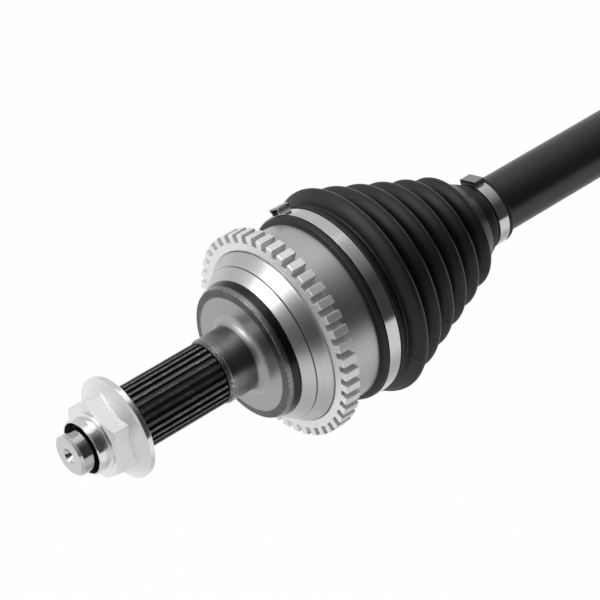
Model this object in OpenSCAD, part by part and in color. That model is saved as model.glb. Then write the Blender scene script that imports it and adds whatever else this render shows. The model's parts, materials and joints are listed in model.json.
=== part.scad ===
// CV axle shaft (front half shaft) for a car with front-wheel drive.
// The axle lies along X. The hub shoulder of the outboard joint is at x = 0,
// the wheel side points to -X, the gearbox side to +X, and Z is up.
// Outboard end: six-ball fixed joint with a splined stub, axle nut and tone ring.
// Inboard end: tripod joint that tilts and plunges. All sizes in millimetres.

/* [Stub axle] */
// Distance from the hub shoulder to the tip of the stub
stub_length = 95.9; // [94:0.1:104]
// Diameter of the plain pilot at the tip
pilot_d = 17.4; // [14:0.1:19]
// Length of the pilot, which reaches into the nut's collar
pilot_length = 10.6; // [9:0.1:12]
// Outer diameter of the nut thread
thread_d = 24; // [22:0.1:25]
// Pitch of the nut thread
thread_pitch = 1.5; // [1:0.1:2]
// Outer diameter of the hub spline
spline_d = 29.8; // [28.8:0.1:30.6]
// Number of hub spline teeth
spline_teeth = 28; // [24:1:32]
// Height of a spline tooth
spline_tooth_h = 1.5; // [1:0.1:1.8]
// Diameter of the plain journal behind the spline
hub_journal_d = 31.4; // [31:0.1:33]
// Length of the plain journal
hub_journal_length = 16.5; // [12:0.1:20]
// Fillet between the journal and the hub shoulder
journal_fillet = 4; // [3:0.1:5]

/* [Axle nut] */
// Width across the flats of the hexagon
nut_across_flats = 34; // [32:0.1:36]
// Distance from the tip of the stub to the collar of the nut
nut_tip_gap = 7; // [6.6:0.1:8]
// Height of the hexagon and its flange together
nut_height = 15.4; // [14.6:0.1:16.4]
// Diameter of the nut flange
nut_flange_d = 48.4; // [44:0.1:52]
// Thickness of the flange rim
nut_flange_t = 3.5; // [2.5:0.1:4.5]
// Diameter of the crimp collar in front of the hexagon
nut_collar_d = 26.4; // [26:0.1:28]
// Height of the crimp collar
nut_collar_h = 5.8; // [4:0.1:7]
// Turn of the hexagon about the axle
nut_turn = -15; // [-30:1:30]
// Radial clearance between nut and thread crests
nut_clearance = 0.05; // [0.03:0.01:0.1]

/* [Outboard bell] */
// Diameter of the boss at the hub shoulder
boss_d = 63.6; // [60:0.1:66]
// Width of the shallow bevel round the face of the boss
boss_bevel = 3.9; // [2:0.1:5]
// Diameter of the boss where the shoulder cone starts
boss_rear_d = 67.4; // [66:0.1:70]
// Width of the boss
boss_width = 6.4; // [5:0.1:8]
// Width of the cone up to the turned groove
cone_width = 5.1; // [4:0.1:6]
// Diameter of the cone at the turned groove
cone_d = 75.4; // [73:0.1:77]
// Wall of the bell outside the ball tracks
bell_wall = 5.17; // [4.6:0.01:6]
// Step from the bell down to the tone ring seat
ring_seat_step = 1.2; // [1:0.1:1.6]
// Distance from the joint centre to the bell mouth
bell_mouth_reach = 13.4; // [12.6:0.1:14.4]

/* [Tone ring] */
// Number of teeth on the tone ring
ring_teeth = 44; // [36:1:48]
// Radial height of the tone ring
ring_height = 8.1; // [7.4:0.1:9]
// Depth of a slot
ring_slot_depth = 3.9; // [3:0.1:4.4]
// Width of the tone ring
ring_width = 8; // [6:0.1:8.4]
// Part of the pitch that a tooth takes
ring_tooth_share = 0.5; // [0.4:0.01:0.6]
// Distance from the hub shoulder to the front of the ring
ring_front_x = 18.3; // [17.8:0.1:18.8]

/* [Ball joint] */
// Distance from the hub shoulder to the centre of the ball joint
outboard_x = 45.6; // [45:0.1:48]
// Ball diameter
ball_d = 17.46; // [17:0.01:17.6]
// Radius of the circle through the ball centres
ball_pitch_r = 29; // [28.8:0.1:29.2]
// Offset of the track centres from the joint centre
track_offset = 4; // [3.6:0.1:4.2]
// Clearance between ball and track
track_clearance = 0.1; // [0.08:0.01:0.15]
// Clearance between the spherical faces of cage, bell and inner race
sphere_clearance = 0.1; // [0.06:0.01:0.1]
// Thickness of the cage outside the ball circle
cage_outer_wall = 2.4; // [2.2:0.1:2.6]
// Thickness of the cage inside the ball circle
cage_inner_wall = 2; // [1.8:0.1:2.2]
// Width of the rail on each side of a cage window
cage_rail = 3.67; // [3.4:0.01:3.9]
// Room for a ball to slide around the cage in its window
window_play = 2.34; // [2.24:0.01:2.6]
// Half width of the inner race
race_half_width = 12; // [11:0.1:12.4]

/* [Axle bar] */
// Distance between the two joint centres
centre_distance = 411.4; // [380:0.1:520]
// Diameter of the bar between the boots
bar_d = 28.1; // [26:0.1:29]
// Diameter of the necks inside the joints
neck_d = 24; // [23:0.1:24.4]
// Outer diameter of the end splines
bar_spline_d = 25; // [24.8:0.1:25.4]
// Number of teeth on the end splines
bar_spline_teeth = 26; // [22:1:30]
// Fit clearance of the end splines
bar_spline_clearance = 0.05; // [0.02:0.01:0.1]

/* [Outboard boot] */
// Wall thickness of both boots
boot_wall = 1.1; // [0.9:0.1:1.3]
// Number of folds of the outboard boot
outboard_folds = 6; // [5:1:6]
// Distance from the lip to the first crest
outboard_first_crest = 21.2; // [20.6:0.1:22]
// Height of the first crest above the bell
outboard_crest_rise = 7.9; // [7.4:0.1:8.4]
// Distance between two crests
outboard_fold_pitch = 12.1; // [11.8:0.1:12.2]
// Drop of the crest radius from one fold to the next
outboard_crest_drop = 4.5; // [4:0.1:4.6]
// Depth of a fold
fold_depth = 8; // [7:0.1:9]
// Length of the outboard boot
outboard_boot_length = 108.9; // [108:0.1:112]

/* [Inboard boot] */
// Number of folds of the inboard boot
inboard_folds = 5; // [4:1:5]
// Distance from the lip to the first crest
inboard_first_crest = 21; // [20.6:0.1:22]
// Height of the first crest above the housing
inboard_crest_rise = 6.7; // [6.3:0.1:7.2]
// Distance between two crests
inboard_fold_pitch = 12; // [11.8:0.1:12.2]
// Drop of the crest radius from one fold to the next
inboard_crest_drop = 4.6; // [4:0.1:4.8]
// Length of the inboard boot
inboard_boot_length = 101.5; // [100:0.1:105]

/* [Clamps] */
// Width of the large clamp bands
large_band_width = 6.4; // [6:0.1:7]
// Width of the small clamp bands
small_band_width = 5.8; // [5:0.1:6.2]
// Thickness of the clamp band
band_t = 0.7; // [0.5:0.05:0.9]
// Width of a large ear over its feet
large_ear_width = 8; // [7:0.1:9]
// Height of a large ear above its band
large_ear_height = 3.4; // [3:0.1:4.6]
// Width of a small ear over its feet
small_ear_width = 11; // [9:0.1:12]
// Height of a small ear above its band
small_ear_height = 2.3; // [2.1:0.1:3.2]
// Turn of the large outboard ear about the axle
large_ear_turn = -41; // [-180:1:180]
// Turn of the small outboard ear about the axle
small_ear_turn = -22; // [-180:1:180]
// Turn of the large inboard ear about the axle
inboard_large_ear_turn = 35; // [-180:1:180]
// Turn of the small inboard ear about the axle
inboard_small_ear_turn = 60; // [-180:1:180]

/* [Tripod joint] */
// Radius of the circle through the roller centres
roller_pitch_r = 24; // [23.6:0.1:25]
// Diameter of the spherical rollers
roller_d = 33; // [32:0.1:33.2]
// Width of a roller
roller_width = 12.4; // [12:0.1:12.6]
// Diameter of a trunnion
trunnion_d = 20; // [19:0.1:20.4]
// Diameter of a needle
needle_d = 2.4; // [2.2:0.1:2.6]
// Number of needles in a roller
needle_count = 24; // [18:1:24]
// Flank clearance of a roller in its track
flank_clearance = 0.66; // [0.6:0.01:0.75]
// Distance from the roller circle to the track floor
track_floor_gap = 10.5; // [10.4:0.1:11]
// Wall of the inboard housing outside the track floor
tulip_wall = 5; // [4.6:0.1:6]
// Distance from the tripod centre to the mouth of the housing
tulip_mouth_reach = 36; // [35.6:0.1:36.4]
// Distance from the tripod centre to the floor of the housing
tulip_floor_reach = 42; // [41.6:0.1:44]

/* [Gearbox stub] */
// Diameter of the seal journal
gear_journal_d = 35; // [34:0.1:37]
// Length of the seal journal
gear_journal_length = 18; // [15:0.1:22]
// Outer diameter of the gearbox spline
gear_spline_d = 27; // [26:0.1:28]
// Number of gearbox spline teeth
gear_spline_teeth = 26; // [22:1:30]
// Length of the gearbox spline
gear_spline_length = 34; // [30:0.1:40]

/* [Hidden] */
$fn = 96;
eps = 0.01;
ball_r = ball_d / 2;
track_r = ball_r + track_clearance;
track_ring_r = sqrt(ball_pitch_r * ball_pitch_r + track_offset * track_offset);
cage_outer_r = ball_pitch_r + cage_outer_wall;
cage_inner_r = ball_pitch_r - cage_inner_wall;
bell_inner_r = cage_outer_r + sphere_clearance;
race_outer_r = cage_inner_r - sphere_clearance;
window_length = ball_d + 0.8;
window_width = ball_d + window_play;
cage_half_width = window_length / 2 + cage_rail;
bell_r = ball_pitch_r + track_r + bell_wall;
ring_seat_r = bell_r - ring_seat_step;
ring_tip_r = ring_seat_r + ring_height;
track_reach = 21.5;
pocket_reach = 27;
mouth_start = 11;
boot_seat_depth = 1;
bell_mouth_x = outboard_x + bell_mouth_reach;
ring_rear_x = ring_front_x + ring_width;
journal_r = hub_journal_d / 2;
spline_root_r = spline_d / 2 - spline_tooth_h;
relief_r = thread_d / 2 - 1.6;
thread_front_x = -stub_length + pilot_length;
nut_rear_x = -stub_length + nut_tip_gap + nut_collar_h + nut_height;
thread_rear_x = nut_rear_x - 0.9;
spline_front_x = thread_rear_x + 3.2;
spline_rear_x = -hub_journal_length - 1.4;
neck_r = neck_d / 2;
bar_r = bar_d / 2;
tripod_x = outboard_x + centre_distance;
roller_r = roller_d / 2;
track_floor_r = roller_pitch_r + track_floor_gap;
tulip_bore_r = roller_pitch_r;
tulip_r = track_floor_r + tulip_wall;
spider_core_r = roller_pitch_r - roller_width / 2 - 1.3;
fit = 0.05;
outboard_neck_reach = 50;
inboard_neck_reach = 54;
neck_taper = 10;
spider_half_width = 12;
circlip_t = 1.6;
trunnion_tip_r = roller_pitch_r + roller_width / 2 + 1.8;
tulip_mouth_x = tripod_x - tulip_mouth_reach;
tulip_floor_x = tripod_x + tulip_floor_reach;
tulip_end_x = tulip_floor_x + 9;
gear_journal_x = tulip_end_x + 6;
gear_spline_x = gear_journal_x + gear_journal_length;
gear_tip_x = gear_spline_x + gear_spline_length + 2.5;
crest_round = 1.6;
valley_round = 1;
arc_steps = 5;
outboard_lip_x = 43.3;
inboard_lip_x = tulip_mouth_x + 16.5;
lip_length = 13.6;
band_start = 3.8;
band_rise = 2.4;
small_band_rise = 1.5;
small_band_inset = 3;
small_band_reach = small_band_inset + small_band_width;
neck_rise = 9;

steel = [0.62, 0.62, 0.63];
dark_steel = [0.2, 0.2, 0.21];
zinc = [0.86, 0.87, 0.88];
rubber = [0.08, 0.08, 0.08];

// Turns a profile of [radius, x] points about the X axis.
module lathe(profile) {
    rotate([0, 90, 0])
    rotate_extrude()
    polygon(profile);
}

// A plain round length along X.
module rod(x0, x1, r) {
    translate([x0, 0, 0])
    rotate([0, 90, 0])
    cylinder(r = r, h = x1 - x0);
}

// A washer or sleeve along X.
module sleeve(x0, x1, r_in, r_out) {
    lathe([[r_in, x0], [r_out, x0], [r_out, x1], [r_in, x1]]);
}

// Cross-section of a spline: tapered teeth on the root circle.
module spline_section(teeth, root_r, tip_r) {
    pitch = 360 / teeth;
    intersection() {
        circle(r = tip_r);
        union() {
            circle(r = root_r);
            for (i = [0:teeth - 1])
                rotate(i * pitch)
                polygon([[root_r - 1, -0.3 * pitch * PI * root_r / 180],
                         [tip_r + 0.5, -0.17 * pitch * PI * tip_r / 180],
                         [tip_r + 0.5, 0.17 * pitch * PI * tip_r / 180],
                         [root_r - 1, 0.3 * pitch * PI * root_r / 180]]);
        }
    }
}

// Spline along X with a chamfer at each end.
module spline(x0, x1, teeth, root_r, tip_r) {
    chamfer = tip_r - root_r + 0.2;
    intersection() {
        translate([x0, 0, 0])
        rotate([0, 90, 0])
        linear_extrude(x1 - x0)
        spline_section(teeth, root_r, tip_r);
        lathe([[0, x0], [root_r - 0.2, x0], [tip_r, x0 + chamfer],
               [tip_r, x1 - chamfer], [root_r - 0.2, x1], [0, x1]]);
    }
}

// Three or more copies around the X axis.
module around(count, turn = 0) {
    for (i = [0:count - 1])
        rotate([turn + i * 360 / count, 0, 0])
        children();
}

// Crests and roots of a thread as rings, from front to rear.
function thread_profile(x0, x1, crest_r, root_r, pitch) = [
    for (i = [0:floor((x1 - x0) / pitch) - 1])
    for (p = [[crest_r, 0.1], [crest_r, 0.3], [root_r, 0.65], [root_r, 0.75]])
    [p[0], x0 + (i + p[1]) * pitch]
];

// Points of a fillet or round: centre, radius and the angles it runs between.
function arc(centre, radius, from, to, steps = 6) = [
    for (k = [0:steps])
    let (a = from + (to - from) * k / steps)
    centre + radius * [cos(a), sin(a)]
];

// Wheel side

module axle_nut() {
    rear = nut_rear_x;
    front = rear - nut_height;
    hex_r = nut_across_flats / 2;
    corner_r = hex_r / cos(30);
    flange_r = nut_flange_d / 2;
    collar_r = nut_collar_d / 2;
    bore_r = thread_d / 2 + nut_clearance;
    color(zinc)
    difference() {
        union() {
            intersection() {
                rotate([nut_turn, 0, 0])
                translate([front, 0, 0])
                rotate([0, 90, 0])
                cylinder(r = corner_r, h = nut_height, $fn = 6);
                lathe([[0, front], [hex_r - 0.6, front], [corner_r + 0.1, front + 2],
                       [corner_r + 0.1, rear], [0, rear]]);
            }
            lathe([[bore_r - 1, rear], [flange_r - 0.6, rear], [flange_r, rear - 0.6],
                   [flange_r, rear - nut_flange_t + 0.8],
                   [flange_r - 1.4, rear - nut_flange_t],
                   [hex_r + 0.6, rear - nut_flange_t - 3.6],
                   [hex_r - 1, rear - nut_flange_t - 4.4], [bore_r - 1, rear - nut_flange_t - 4.4]]);
            lathe([[bore_r - 1, front + 1], [collar_r + 1.3, front + 1],
                   [collar_r + 1.3, front - 0.2], [collar_r - 0.4, front - 0.9],
                   [collar_r - 0.4, front - 2],
                   [collar_r, front - 2.4], [collar_r, front - nut_collar_h + 0.5],
                   [collar_r - 0.5, front - nut_collar_h], [bore_r - 1, front - nut_collar_h]]);
        }
        rod(front - nut_collar_h - 1, rear + 1, bore_r);
        lathe([[bore_r - 1, rear + eps], [bore_r + 1.2, rear + eps], [bore_r - 1, rear - 2.2]]);
    }
}

module stub_axle() {
    pilot_r = pilot_d / 2;
    tip = -stub_length;
    thread_r = thread_d / 2;
    lathe(concat(
        [[0, tip], [pilot_r - 0.9, tip], [pilot_r, tip + 0.9],
         [pilot_r, thread_front_x - 0.6], [pilot_r - 0.5, thread_front_x],
         [thread_r - 1.1, thread_front_x]],
        thread_profile(thread_front_x + 0.8, thread_rear_x - 0.4, thread_r, thread_r - 0.9, thread_pitch),
        [[thread_r - 0.9, thread_rear_x], [relief_r, thread_rear_x + 0.6],
         [relief_r, spline_front_x - 0.6], [spline_root_r - 0.6, spline_front_x + 0.4],
         [spline_root_r - 0.6, spline_rear_x - 1], [spline_d / 2, spline_rear_x - 0.8],
         [journal_r - 0.5, spline_rear_x + 1], [journal_r, -hub_journal_length],
         [journal_r, -journal_fillet]],
        arc([journal_r + journal_fillet, -journal_fillet], journal_fillet, 180, 90),
        [[journal_r + journal_fillet + 1, 0], [journal_r + journal_fillet + 1, 2], [0, 2]]));
    spline(spline_front_x, spline_rear_x, spline_teeth, spline_root_r, spline_d / 2);
}

// Torus cut by a ball that runs along a track with its centre at track_x.
module ball_track(track_x) {
    translate([track_x, 0, 0])
    rotate([90, 0, 0])
    rotate_extrude()
    translate([track_ring_r, 0])
    circle(r = track_r);
}

module outboard_bell() {
    boss_r = boss_d / 2;
    boss_rear_r = boss_rear_d / 2;
    seat_r = ring_seat_r;
    cone_x = boss_width + cone_width;
    cone_r = cone_d / 2;
    groove_end = outboard_lip_x + lip_length - 3.2;
    groove_start = outboard_lip_x + band_start - 0.4;
    mouth_r = sqrt(pow(bell_inner_r, 2) - pow(mouth_start, 2));
    pocket_x = outboard_x - pocket_reach;
    color(steel) {
        difference() {
            lathe(concat(
                [[0, 0], [boss_r - boss_bevel, 0], [boss_r - 0.6, 0.4]],
                arc([boss_r - 0.6, 1.1], 0.7, -80, -10, 3),
                [[boss_r + 0.8, 2.8], [boss_rear_r - 0.4, boss_width - 0.5],
                 [boss_rear_r - 0.8, boss_width - 0.3], [boss_rear_r - 0.8, boss_width],
                 [boss_rear_r, boss_width + 0.2],
                 [cone_r - 0.1, cone_x - 0.1], [cone_r - 0.45, cone_x],
                 [cone_r - 0.45, cone_x + 0.3], [cone_r + 0.15, cone_x + 0.45],
                 [seat_r - 0.5, ring_front_x - 1.4], [seat_r, ring_front_x - 0.8],
                 [seat_r, ring_rear_x], [bell_r, ring_rear_x],
                 [bell_r, groove_start], [bell_r - boot_seat_depth, groove_start + 0.8],
                 [bell_r - boot_seat_depth, groove_end - 0.8], [bell_r, groove_end],
                 [bell_r, bell_mouth_x - 1], [bell_r - 1, bell_mouth_x], [0, bell_mouth_x]]));
            intersection() {
                translate([outboard_x, 0, 0])
                rotate([0, 90, 0])
                sphere(r = bell_inner_r);
                rod(pocket_x, outboard_x + mouth_start, bell_inner_r + 1);
            }
            lathe([[0, outboard_x + mouth_start - 1], [mouth_r, outboard_x + mouth_start - 1],
                   [mouth_r, outboard_x + mouth_start],
                   [mouth_r + 6.2, bell_mouth_x + 0.6], [0, bell_mouth_x + 0.6]]);
            intersection() {
                around(6)
                intersection() {
                    ball_track(outboard_x + track_offset);
                    translate([outboard_x - track_reach, -track_r - 1, 0])
                    cube([track_reach + bell_mouth_reach + 2, 2 * track_r + 2, bell_r + 10]);
                }
                rod(outboard_x - track_reach, bell_mouth_x + 1, bell_r - 2);
            }
        }
        difference() {
            stub_axle();
            rod(-stub_length - 1, -stub_length + 5, 1.6);
            lathe([[0, -stub_length - eps], [3.6, -stub_length - eps], [0, -stub_length + 5.6]]);
        }
    }
}

module tone_ring() {
    tip_r = ring_tip_r;
    root_r = tip_r - ring_slot_depth;
    bore_r = ring_seat_r + fit;
    pitch = 360 / ring_teeth;
    slot = 2 * PI * root_r * (1 - ring_tooth_share) / ring_teeth;
    color(zinc)
    difference() {
        lathe([[bore_r + 0.5, ring_front_x], [tip_r - 0.3, ring_front_x],
               [tip_r, ring_front_x + 0.3], [tip_r, ring_rear_x - 0.3],
               [tip_r - 0.3, ring_rear_x], [bore_r, ring_rear_x],
               [bore_r, ring_front_x + 0.5]]);
        around(ring_teeth, pitch / 4)
        translate([ring_front_x - 1, -slot / 2, root_r])
        cube([ring_width + 2, slot, ring_slot_depth + 2]);
    }
}

module outboard_cage() {
    color(steel)
    difference() {
        intersection() {
            translate([outboard_x, 0, 0])
            rotate([0, 90, 0])
            sphere(r = cage_outer_r);
            rod(outboard_x - cage_half_width, outboard_x + cage_half_width, cage_outer_r);
        }
        translate([outboard_x, 0, 0])
        rotate([0, 90, 0])
        sphere(r = cage_inner_r);
        around(6)
        translate([outboard_x - window_length / 2, -window_width / 2, 10])
        cube([window_length, window_width, 40]);
    }
}

module ball(index) {
    color(steel)
    rotate([(index - 1) * 60, 0, 0])
    translate([outboard_x, 0, ball_pitch_r])
    sphere(r = ball_r);
}

module inner_race() {
    color(dark_steel)
    difference() {
        intersection() {
            translate([outboard_x, 0, 0])
            rotate([0, 90, 0])
            sphere(r = race_outer_r);
            rod(outboard_x - race_half_width, outboard_x + race_half_width, race_outer_r);
        }
        around(6)
        intersection() {
            ball_track(outboard_x - track_offset);
            translate([outboard_x - race_half_width - 1, -track_r - 1, 8])
            cube([2 * race_half_width + 2, 2 * track_r + 2, 40]);
        }
        translate([outboard_x - race_half_width - 1, 0, 0])
        rotate([0, 90, 0])
        linear_extrude(2 * race_half_width + 2)
        bar_spline_section(bar_spline_clearance);
    }
}

module race_circlip() {
    face = outboard_x - race_half_width;
    groove_r = bar_spline_d / 2 - 1.2;
    color(dark_steel)
    difference() {
        sleeve(face - circlip_t, face, groove_r + fit, bar_spline_d / 2 + 1.4);
        translate([face - circlip_t - 1, -1.5, -30])
        cube([circlip_t + 2, 3, 30]);
    }
}

// Axle bar

module bar_spline_section(clearance = 0) {
    spline_section(bar_spline_teeth, bar_spline_d / 2 - 1.1 + clearance, bar_spline_d / 2 + clearance);
}

module axle_bar() {
    tip_r = bar_spline_d / 2;
    root_r = tip_r - 1.1;
    race_front = outboard_x - race_half_width;
    race_rear = outboard_x + race_half_width;
    bar_front = race_front - circlip_t - 1.4;
    spider_front = tripod_x - spider_half_width;
    spider_rear = tripod_x + spider_half_width;
    bar_rear = spider_rear + circlip_t + 1.4;
    collar_r = tip_r + 1.5;
    color(rubber)
    difference() {
        union() {
            lathe([[0, bar_front], [root_r - 0.5, bar_front], [root_r - 0.5, race_rear],
                   [collar_r, race_rear], [collar_r, race_rear + 1.6], [neck_r, race_rear + 3.4],
                   [neck_r, outboard_x + outboard_neck_reach],
                   [bar_r, outboard_x + outboard_neck_reach + neck_taper],
                   [bar_r, tripod_x - inboard_neck_reach - neck_taper],
                   [neck_r, tripod_x - inboard_neck_reach],
                   [neck_r, spider_front - 3.4], [collar_r, spider_front - 1.6],
                   [collar_r, spider_front], [root_r - 0.5, spider_front],
                   [root_r - 0.5, bar_rear], [0, bar_rear]]);
            spline(bar_front, race_rear + 1, bar_spline_teeth, root_r, tip_r);
            spline(spider_front - 1, bar_rear, bar_spline_teeth, root_r, tip_r);
        }
        for (x = [race_front - circlip_t, spider_rear])
            sleeve(x, x + circlip_t, tip_r - 1.2, tip_r + 5);
    }
}

// Tripod joint

// One trunnion points to +Z, the others follow every 120 degrees.
module at_trunnion(index) {
    translate([tripod_x, 0, 0])
    rotate([(index - 1) * 120, 0, 0])
    children();
}

module spider() {
    trunnion_r = trunnion_d / 2;
    boss_top = roller_pitch_r - roller_width / 2 - 0.3;
    ring_z = roller_pitch_r + roller_width / 2 + 0.1;
    color(dark_steel)
    difference() {
        union() {
            rod(tripod_x - spider_half_width, tripod_x + spider_half_width, spider_core_r);
            for (i = [1:3])
                at_trunnion(i) {
                    cylinder(r = trunnion_r + 1.6, h = boss_top);
                    cylinder(r = trunnion_r, h = trunnion_tip_r - 0.8);
                    translate([0, 0, trunnion_tip_r - 0.8])
                    cylinder(r1 = trunnion_r, r2 = trunnion_r - 0.8, h = 0.8);
                }
        }
        for (i = [1:3])
            at_trunnion(i)
            translate([0, 0, ring_z])
            difference() {
                cylinder(r = trunnion_r + 3, h = 1);
                cylinder(r = trunnion_r - 0.8, h = 1);
            }
        translate([tripod_x - spider_half_width - 1, 0, 0])
        rotate([0, 90, 0])
        linear_extrude(2 * spider_half_width + 2)
        bar_spline_section(bar_spline_clearance);
    }
}

module spider_circlip() {
    face = tripod_x + spider_half_width;
    groove_r = bar_spline_d / 2 - 1.2;
    color(dark_steel)
    difference() {
        sleeve(face, face + circlip_t, groove_r + fit, bar_spline_d / 2 + 1.4);
        translate([face - 1, -1.5, -30])
        cube([circlip_t + 2, 3, 30]);
    }
}

module roller(index) {
    bore_r = trunnion_d / 2 + needle_d + 0.2;
    color(steel)
    at_trunnion(index)
    translate([0, 0, roller_pitch_r])
    difference() {
        intersection() {
            sphere(r = roller_r);
            translate([0, 0, -roller_width / 2])
            cylinder(r = roller_r, h = roller_width);
        }
        translate([0, 0, -roller_width])
        cylinder(r = bore_r, h = 2 * roller_width);
    }
}

module needles(index) {
    needle_r = needle_d / 2;
    circle_r = trunnion_d / 2 + needle_r + 0.1;
    length = roller_width - 1.2;
    color(steel)
    at_trunnion(index)
    translate([0, 0, roller_pitch_r - length / 2]) {
        for (i = [0:needle_count - 1])
            rotate(i * 360 / needle_count)
            translate([circle_r, 0, 0])
            cylinder(r = needle_r, h = length, $fn = 24);
        for (z = [0, length - 1])
            translate([0, 0, z])
            difference() {
                cylinder(r = circle_r + 0.8, h = 1);
                translate([0, 0, -1])
                cylinder(r = circle_r - 0.8, h = 3);
            }
    }
}

module roller_ring(index) {
    trunnion_r = trunnion_d / 2;
    color(dark_steel)
    at_trunnion(index)
    translate([0, 0, roller_pitch_r + roller_width / 2 + 0.1])
    difference() {
        cylinder(r = trunnion_r + 1.5, h = 1);
        translate([0, 0, -1])
        cylinder(r = trunnion_r - 0.8 + fit, h = 3);
        translate([0, -1.2, -1])
        cube([20, 2.4, 3]);
    }
}

module inboard_tulip() {
    outer_r = tulip_r;
    slot_half = roller_r + flank_clearance;
    recess_r = outer_r + 6.5;
    journal_r2 = gear_journal_d / 2;
    spline_r = gear_spline_d / 2;
    root_r = spline_r - 1.3;
    groove_start = inboard_lip_x - lip_length + 3.2;
    groove_end = inboard_lip_x - band_start + 0.4;
    clip_x = gear_spline_x + gear_spline_length - 6;
    color(steel)
    difference() {
        union() {
            lathe([[0, tulip_mouth_x], [outer_r - 1, tulip_mouth_x], [outer_r, tulip_mouth_x + 1],
                   [outer_r, groove_start], [outer_r - boot_seat_depth, groove_start + 0.8],
                   [outer_r - boot_seat_depth, groove_end - 0.8], [outer_r, groove_end],
                   [outer_r, tulip_floor_x + 2], [outer_r - 2.5, tulip_floor_x + 4.5],
                   [26, tulip_end_x], [25, tulip_end_x + 1.5], [25, tulip_end_x + 3.5],
                   [journal_r2 + 2, gear_journal_x - 0.4], [journal_r2, gear_journal_x],
                   [journal_r2, gear_spline_x - 1.5], [journal_r2 - 1.5, gear_spline_x],
                   [root_r - 0.3, gear_spline_x], [root_r - 0.3, gear_tip_x - 2.5],
                   [root_r - 2, gear_tip_x], [0, gear_tip_x]]);
            spline(gear_spline_x - 1, gear_spline_x + gear_spline_length,
                   gear_spline_teeth, root_r, spline_r);
        }
        rod(tulip_mouth_x - 1, tulip_floor_x, tulip_bore_r);
        lathe([[0, tulip_mouth_x - 1], [tulip_bore_r + 5.4, tulip_mouth_x - 1],
               [tulip_bore_r, tulip_mouth_x + 12.5], [0, tulip_mouth_x + 12.5]]);
        intersection() {
            around(3)
            translate([tulip_mouth_x - 1, -slot_half, 0])
            cube([tulip_floor_x - tulip_mouth_x + 1, 2 * slot_half, 60]);
            rod(tulip_mouth_x - 2, tulip_floor_x + 1, track_floor_r);
        }
        around(3, 60)
        translate([0, 0, recess_r])
        rod(inboard_lip_x + 6, tulip_floor_x + 12, 17);
        sleeve(clip_x, clip_x + 1.8, spline_r - 1.6, spline_r + 5);
        lathe([[0, gear_tip_x + eps], [3.2, gear_tip_x + eps], [0, gear_tip_x - 4]]);
    }
}

module gearbox_clip() {
    spline_r = gear_spline_d / 2;
    clip_x = gear_spline_x + gear_spline_length - 6;
    color(steel)
    difference() {
        translate([clip_x + 0.9, 0, 0])
        rotate([0, 90, 0])
        rotate_extrude()
        translate([spline_r - 1.6 + fit + 0.9, 0])
        circle(r = 0.9, $fn = 32);
        translate([clip_x - 1, -2.5, -30])
        cube([4, 5, 30]);
    }
}

// Boots. A boot is drawn as [distance from the lip, radius] and turned about X.

// Heading of the straight wall between the rounds of a crest and a valley.
function wall_heading(a, b, from_crest) =
    let (d = b - a)
    atan2(d[1], d[0]) - (from_crest ? 1 : -1) * asin((crest_round + valley_round) / norm(d));

// Centres of the rounds: a valley before each crest and one after the last.
// The first valley clears the housing's mouth, the last one starts the neck.
function fold_centres(first, crest_r, pitch, drop, count, mouth_r) = [
    for (k = [0:2 * count])
    let (half = (k - 1) / 2,
         x = first + half * pitch,
         r = crest_r - half * drop)
    k % 2 == 1 ? [x, r - crest_round]
    : k == 0 ? [x, mouth_r + 0.4 + boot_wall + valley_round]
    : k == 2 * count ? [x - 0.8, bar_r + neck_rise + valley_round]
    : [x, r - fold_depth + valley_round]
];

// Rounds of the folds, moved inward by the wall for the inner surface.
function fold_line(centres, inward) =
    let (last = len(centres) - 1)
    [for (k = [0:last])
     let (crest = k % 2 == 1,
          radius = crest ? crest_round - inward : -(valley_round + inward),
          before = k == 0 ? -30 : wall_heading(centres[k - 1], centres[k], !crest),
          after = k == last ? -20 : wall_heading(centres[k], centres[k + 1], crest))
     for (s = [0:arc_steps])
     let (h = before + (after - before) * s / arc_steps)
     centres[k] + radius * [-sin(h), cos(h)]];

module boot(seat_r, first, crest_r, pitch, drop, count, length) {
    centres = fold_centres(first, crest_r, pitch, drop, count, seat_r);
    seat = seat_r + fit;
    grip_r = bar_r + fit;
    band = seat - boot_seat_depth;
    neck_start = length - 17;
    outer = concat(
        [[0, seat + 0.5], [0.5, seat + 1.1], [band_start - 1, seat + 2.9], [band_start - 0.3, seat + 2.9],
         [band_start - 0.1, seat + band_rise],
         [band_start + large_band_width + 0.2, seat + band_rise],
         [band_start + large_band_width + 0.4, seat + 3.5],
         [band_start + large_band_width + 1.8, seat + 3.8],
         [band_start + large_band_width + 2.4, seat + 2.8]],
        fold_line(centres, 0),
        [[neck_start, bar_r + 6.3], [neck_start + 0.6, bar_r + 5.3], [neck_start + 1.2, bar_r + 5.6],
         [neck_start + 2, bar_r + 5.3], [neck_start + 2.6, bar_r + 4.2], [neck_start + 3.4, bar_r + 4.4],
         [neck_start + 4.2, bar_r + 4.1], [neck_start + 4.8, bar_r + 3],
         [length - small_band_reach - 0.6, bar_r + 2.4],
         [length - small_band_reach - 0.2, bar_r + small_band_rise],
         [length - small_band_inset + 0.2, bar_r + small_band_rise],
         [length - small_band_inset + 0.4, bar_r + 2.4],
         [length - 0.6, bar_r + 2.5], [length, bar_r + 1.9]]);
    inner = concat(
        [[0, seat], [band_start - 0.4, seat], [band_start + 0.4, band + 0.05],
         [lip_length - 4, band + 0.05], [lip_length - 3.2, seat],
         [lip_length - 1.4, seat]],
        fold_line(centres, boot_wall),
        [[neck_start + 1, bar_r + 4], [neck_start + 5, bar_r + 1.6],
         [length - 9.6, grip_r], [length, grip_r]]);
    color(rubber)
    rotate([0, 90, 0])
    rotate_extrude()
    polygon([for (p = concat(outer, [for (i = [len(inner) - 1:-1:0]) inner[i]])) [p[1], p[0]]]);
}

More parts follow.
